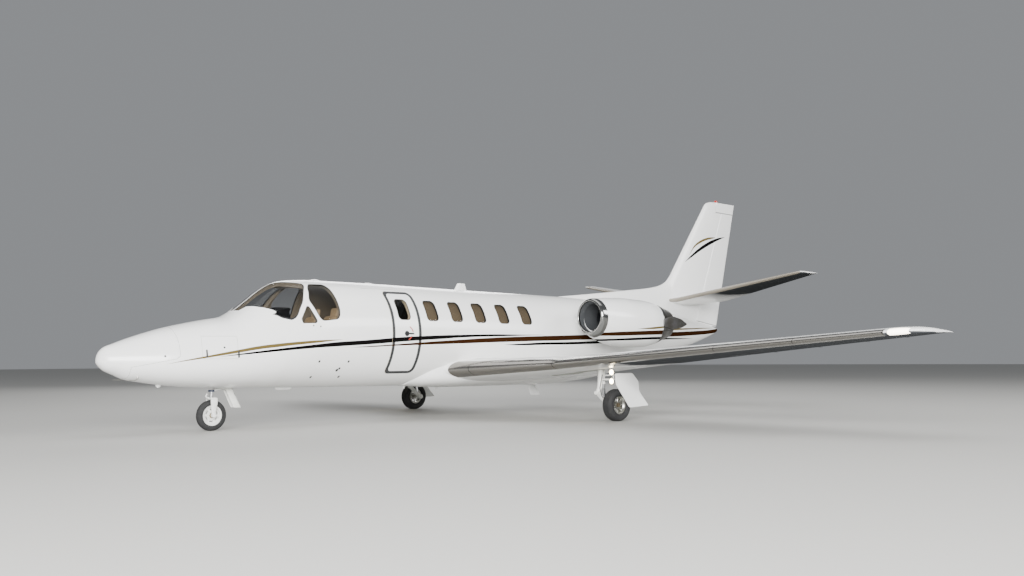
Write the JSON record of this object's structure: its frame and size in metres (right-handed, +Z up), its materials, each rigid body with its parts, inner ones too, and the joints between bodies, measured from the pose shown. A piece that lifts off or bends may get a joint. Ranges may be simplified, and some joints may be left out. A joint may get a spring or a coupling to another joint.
{
  "type": "business jet",
  "caption": "Light business jet with straight wings, tail-mounted engines and tricycle gear, parked with its cabin door closed.",
  "frame": {"origin": "on the ground, under the middle of the overall length and span", "axes": "+X to port, +Y aft towards the tail, +Z up"},
  "size_m": [16.48, 14.9, 4.69],
  "materials": {
    "paint_white": "gloss white with brown, gold and black stripes",
    "polished_metal": "polished bare metal",
    "dark_metal": "heat-stained dark metal",
    "steel": "satin metal",
    "gear_white": "white enamel",
    "tyre_rubber": "grooved rubber",
    "window_glass": "clear, a little tinted",
    "panel_black": "matte black",
    "leather": "tan",
    "carpet": "cut pile"
  },
  "bodies": {
    "airframe": {"radome": "paint_white", "nose_section": "paint_white", "cockpit_section": "paint_white", "cabin_section": "paint_white", "tail_section": "paint_white", "belly_fairing": "paint_white", "windshield_port": "window_glass", "windshield_starboard": "window_glass", "side_window_port": "window_glass", "side_window_starboard": "window_glass", "quarter_window_port": "window_glass", "quarter_window_starboard": "window_glass", "cabin_floor": "carpet", "instrument_panel": "panel_black", "pilot_seat_port": "leather", "pilot_seat_starboard": "leather", "cabin_seats_port": "leather", "cabin_seats_starboard": "leather", "wing_port": "paint_white", "wing_starboard": "paint_white", "leading_edge_port": "polished_metal", "leading_edge_starboard": "polished_metal", "fin": "paint_white", "tailplane": "paint_white", "nacelle_port": "paint_white", "nacelle_starboard": "paint_white", "intake_lip_port": "polished_metal", "intake_lip_starboard": "polished_metal", "engine_port": "dark_metal", "engine_starboard": "dark_metal", "main_leg_port": "gear_white", "main_leg_starboard": "gear_white", "main_gear_door_port": "paint_white", "main_gear_door_starboard": "paint_white", "nose_leg": "gear_white"},
    "cabin_door_leaf": {"cabin_door": "paint_white"},
    "nose_bay_door_leaf_port": {"nose_bay_door_port": "paint_white"},
    "nose_bay_door_leaf_starboard": {"nose_bay_door_starboard": "paint_white"},
    "flap_surface_port": {"flap_port": "paint_white"},
    "flap_surface_starboard": {"flap_starboard": "paint_white"},
    "aileron_surface_port": {"aileron_port": "paint_white"},
    "aileron_surface_starboard": {"aileron_starboard": "paint_white"},
    "elevator_surface_port": {"elevator_port": "paint_white"},
    "elevator_surface_starboard": {"elevator_starboard": "paint_white"},
    "rudder_surface": {"rudder": "paint_white"},
    "fan_rotor_port": {"fan_port": "steel"},
    "fan_rotor_starboard": {"fan_starboard": "steel"},
    "reverser_door_upper_port": {"reverser_upper_port": "dark_metal"},
    "reverser_door_lower_port": {"reverser_lower_port": "dark_metal"},
    "reverser_door_upper_starboard": {"reverser_upper_starboard": "dark_metal"},
    "reverser_door_lower_starboard": {"reverser_lower_starboard": "dark_metal"},
    "main_wheel_set_port": {"main_tyre_port": "tyre_rubber", "main_wheel_port": "steel"},
    "main_wheel_set_starboard": {"main_tyre_starboard": "tyre_rubber", "main_wheel_starboard": "steel"},
    "nose_steering_fork": {"nose_fork": "gear_white"},
    "nose_wheel_set": {"nose_tyre": "tyre_rubber", "nose_wheel": "gear_white"}
  },
  "joints": [
    {"name": "nose_steering", "type": "hinge", "parent": "airframe", "child": "nose_steering_fork", "pos_m": [0, -5.717, 0.5], "axis": [0, 0, 1], "range_deg": [-20, 20]},
    {"name": "nose_wheel_spin", "type": "hinge", "parent": "nose_steering_fork", "child": "nose_wheel_set", "pos_m": [0, -5.717, 0.232], "axis": [1, 0, 0], "continuous": true},
    {"name": "main_wheel_spin_port", "type": "hinge", "parent": "airframe", "child": "main_wheel_set_port", "pos_m": [2.875, 0.16, 0.27], "axis": [1, 0, 0], "continuous": true},
    {"name": "main_wheel_spin_starboard", "type": "hinge", "parent": "airframe", "child": "main_wheel_set_starboard", "pos_m": [-2.875, 0.16, 0.27], "axis": [1, 0, 0], "continuous": true},
    {"name": "cabin_door_hinge", "type": "hinge", "parent": "airframe", "child": "cabin_door_leaf", "pos_m": [0.876, -2.997, 1.5], "axis": [0, 0, -1], "range_deg": [0, 105]},
    {"name": "nose_bay_hinge_port", "type": "hinge", "parent": "airframe", "child": "nose_bay_door_leaf_port", "pos_m": [0.552, -5.87, 1.419], "axis": [-0.2311, -0.9729, 0], "range_deg": [0, 85]},
    {"name": "nose_bay_hinge_starboard", "type": "hinge", "parent": "airframe", "child": "nose_bay_door_leaf_starboard", "pos_m": [-0.552, -5.87, 1.419], "axis": [-0.2311, 0.9729, 0], "range_deg": [0, 85]},
    {"name": "flap_hinge_port", "type": "hinge", "parent": "airframe", "child": "flap_surface_port", "pos_m": [2.975, 0.5575, 0.9745], "axis": [-0.9961, 0.0139, -0.0874], "range_deg": [0, 35]},
    {"name": "flap_hinge_starboard", "type": "hinge", "parent": "airframe", "child": "flap_surface_starboard", "pos_m": [-2.975, 0.5575, 0.9745], "axis": [-0.9961, -0.0139, 0.0874], "range_deg": [0, 35]},
    {"name": "aileron_hinge_port", "type": "hinge", "parent": "airframe", "child": "aileron_surface_port", "pos_m": [6.355, 0.6225, 1.2586], "axis": [-0.9965, 0.0019, -0.0831], "range_deg": [-20, 20]},
    {"name": "aileron_hinge_starboard", "type": "hinge", "parent": "airframe", "child": "aileron_surface_starboard", "pos_m": [-6.355, 0.6225, 1.2586], "axis": [-0.9965, -0.0019, 0.0831], "range_deg": [-20, 20]},
    {"name": "elevator_hinge_port", "type": "hinge", "parent": "airframe", "child": "elevator_surface_port", "pos_m": [1.725, 5.9625, 2.5503], "axis": [0.9846, -0.0517, 0.1671], "range_deg": [-15, 20]},
    {"name": "elevator_hinge_starboard", "type": "hinge", "parent": "airframe", "child": "elevator_surface_starboard", "pos_m": [-1.725, 5.9625, 2.5503], "axis": [0.9846, 0.0517, -0.1671], "range_deg": [-15, 20]},
    {"name": "rudder_hinge", "type": "hinge", "parent": "airframe", "child": "rudder_surface", "pos_m": [0, 6.455, 3.246], "axis": [0, 0.3832, 0.9237], "range_deg": [-20, 20]},
    {"name": "fan_spin_port", "type": "hinge", "parent": "airframe", "child": "fan_rotor_port", "pos_m": [1.42, 1.51, 1.79715], "axis": [0, 0.9987, -0.0506], "continuous": true},
    {"name": "fan_spin_starboard", "type": "hinge", "parent": "airframe", "child": "fan_rotor_starboard", "pos_m": [-1.42, 1.51, 1.79715], "axis": [0, 0.9987, -0.0506], "continuous": true},
    {"name": "reverser_upper_hinge_port", "type": "hinge", "parent": "airframe", "child": "reverser_door_upper_port", "pos_m": [1.42, 3.14, 1.715], "axis": [-1, 0, 0], "range_deg": [0, 60]},
    {"name": "reverser_lower_hinge_port", "type": "hinge", "parent": "airframe", "child": "reverser_door_lower_port", "pos_m": [1.42, 3.14, 1.715], "axis": [1, 0, 0], "range_deg": [0, 60]},
    {"name": "reverser_upper_hinge_starboard", "type": "hinge", "parent": "airframe", "child": "reverser_door_upper_starboard", "pos_m": [-1.42, 3.14, 1.715], "axis": [-1, 0, 0], "range_deg": [0, 60]},
    {"name": "reverser_lower_hinge_starboard", "type": "hinge", "parent": "airframe", "child": "reverser_door_lower_starboard", "pos_m": [-1.42, 3.14, 1.715], "axis": [1, 0, 0], "range_deg": [0, 60]}
  ],
  "couplings": [
    {"joint": "flap_hinge_starboard", "follows": "flap_hinge_port", "ratio": 1},
    {"joint": "aileron_hinge_starboard", "follows": "aileron_hinge_port", "ratio": -1},
    {"joint": "elevator_hinge_starboard", "follows": "elevator_hinge_port", "ratio": 1},
    {"joint": "reverser_lower_hinge_port", "follows": "reverser_upper_hinge_port", "ratio": 1},
    {"joint": "reverser_lower_hinge_starboard", "follows": "reverser_upper_hinge_starboard", "ratio": 1}
  ]
}
